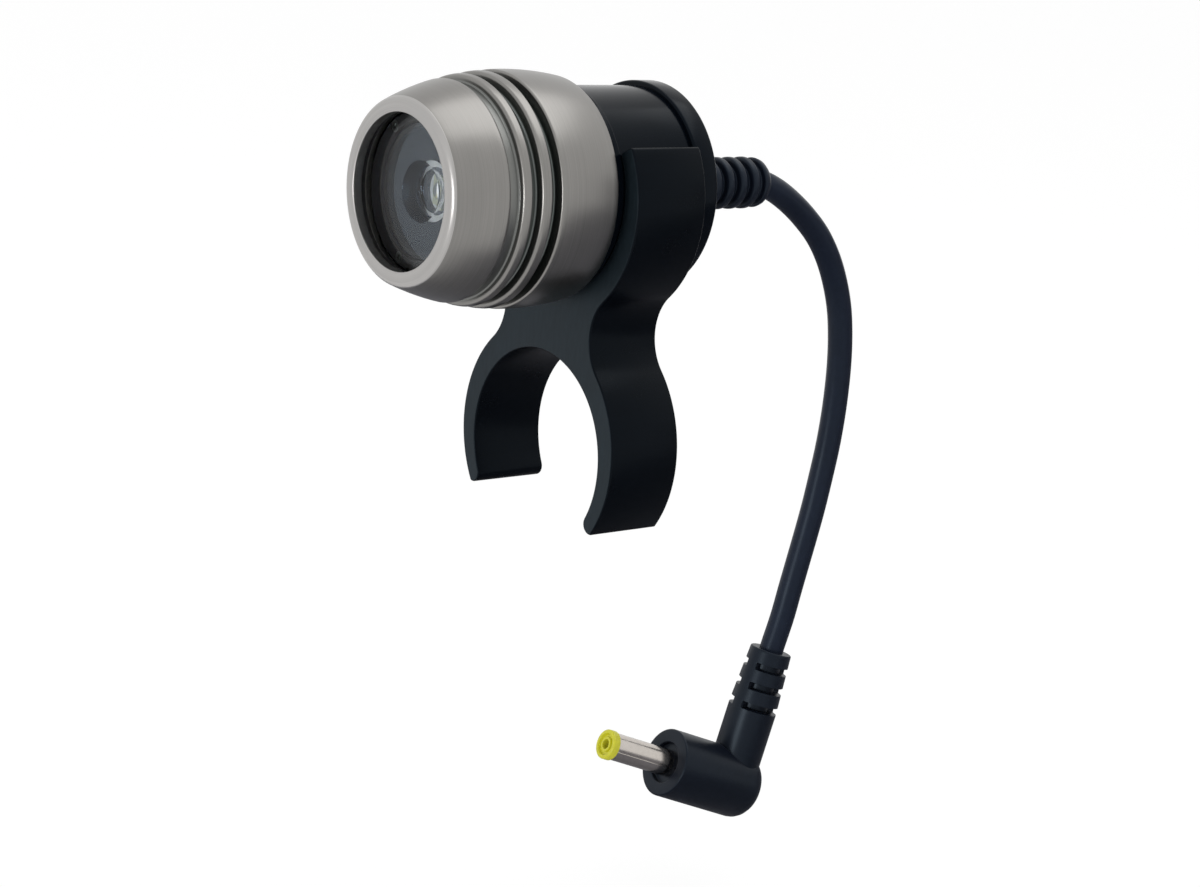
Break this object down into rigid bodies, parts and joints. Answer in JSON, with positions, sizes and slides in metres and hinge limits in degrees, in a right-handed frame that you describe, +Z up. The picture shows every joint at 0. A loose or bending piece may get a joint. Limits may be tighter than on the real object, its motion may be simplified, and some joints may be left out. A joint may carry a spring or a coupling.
{
  "type": "clip-mounted lamp head",
  "caption": "Small finned lamp head in a double snap clip, with a screw-on bezel and window, and a short cord that ends in an angled coaxial plug.",
  "frame": {"origin": "on the axis of the bar that the lower clip grips, in the middle of the clip's width", "axes": "+Y along that bar and out of the lamp's back, +Z up from the bar to the lamp; the beam leaves along -Y"},
  "size_m": [0.0388, 0.0986, 0.1326],
  "materials": {
    "bracket_acetal": "sawn and milled acetal plate, satin black with fine machining lines",
    "turned_silver": "fine turned lines round the axis, satin",
    "black_anodised": "satin black anodised",
    "window_glass": "clear flat glass",
    "clear_optic": "clear moulded acrylic",
    "clear_dome": "clear silicone",
    "holder_black": "moulded black",
    "screw_steel": "blackened steel",
    "board_dark": "dark solder mask on aluminium",
    "ceramic_white": "white ceramic",
    "phosphor_yellow": "yellow phosphor",
    "solder": "bright solder",
    "wire_red": "red insulation",
    "wire_black": "black insulation",
    "board_green": "green solder mask",
    "ferrite": "ferrite grey",
    "chip_black": "epoxy black",
    "capacitor_tan": "tan resin",
    "seal_rubber": "black nitrile",
    "brass": "plain brass",
    "relief_rubber": "satin black rubber",
    "cord_jacket": "satin blue-black jacket",
    "plug_plastic": "satin black moulding",
    "nickel": "nickel plate",
    "tip_yellow": "bright yellow plastic"
  },
  "bodies": {
    "bracket": {"clip_bracket": "bracket_acetal"},
    "lamp_head": {"body_shell": "turned_silver", "optic_lens": "clear_optic", "optic_holder": "holder_black", "holder_screws": "screw_steel", "led_board": "board_dark", "led_package": "ceramic_white", "led_dome": "clear_dome", "led_die": "phosphor_yellow", "solder_joints": "solder", "led_wire_red": "wire_red", "led_wire_black": "wire_black", "driver_board": "board_green", "driver_inductor": "ferrite", "driver_chips": "chip_black", "driver_capacitor": "capacitor_tan", "body_seal": "seal_rubber", "rear_housing": "black_anodised", "rear_cap": "black_anodised", "rear_cap_seal": "seal_rubber", "cord_retainer": "brass", "cord_core_red": "wire_red", "cord_core_black": "wire_black", "strain_relief": "relief_rubber", "power_cord": "cord_jacket", "plug_body": "plug_plastic", "plug_barrel": "nickel", "plug_insulator": "tip_yellow", "plug_contact": "brass", "plug_tip": "tip_yellow"},
    "window_pack": {"front_glass": "window_glass", "glass_seal": "seal_rubber"},
    "bezel": {"bezel_ring": "turned_silver"}
  },
  "joints": [
    {"name": "lamp_swivel", "type": "hinge", "parent": "bracket", "child": "lamp_head", "pos_m": [0, 0, 0.042], "axis": [0, 1, 0], "continuous": true},
    {"name": "bezel_travel", "type": "slide", "parent": "lamp_head", "child": "window_pack", "axis": [0, -1, 0], "range_m": [0, 0.003]},
    {"name": "bezel_turn", "type": "hinge", "parent": "window_pack", "child": "bezel", "pos_m": [0, 0, 0.042], "axis": [0, -1, 0], "range_deg": [0, 1440]}
  ],
  "couplings": [
    {"joint": "bezel_travel", "follows": "bezel_turn", "m_per_rad": 0.00011936}
  ]
}
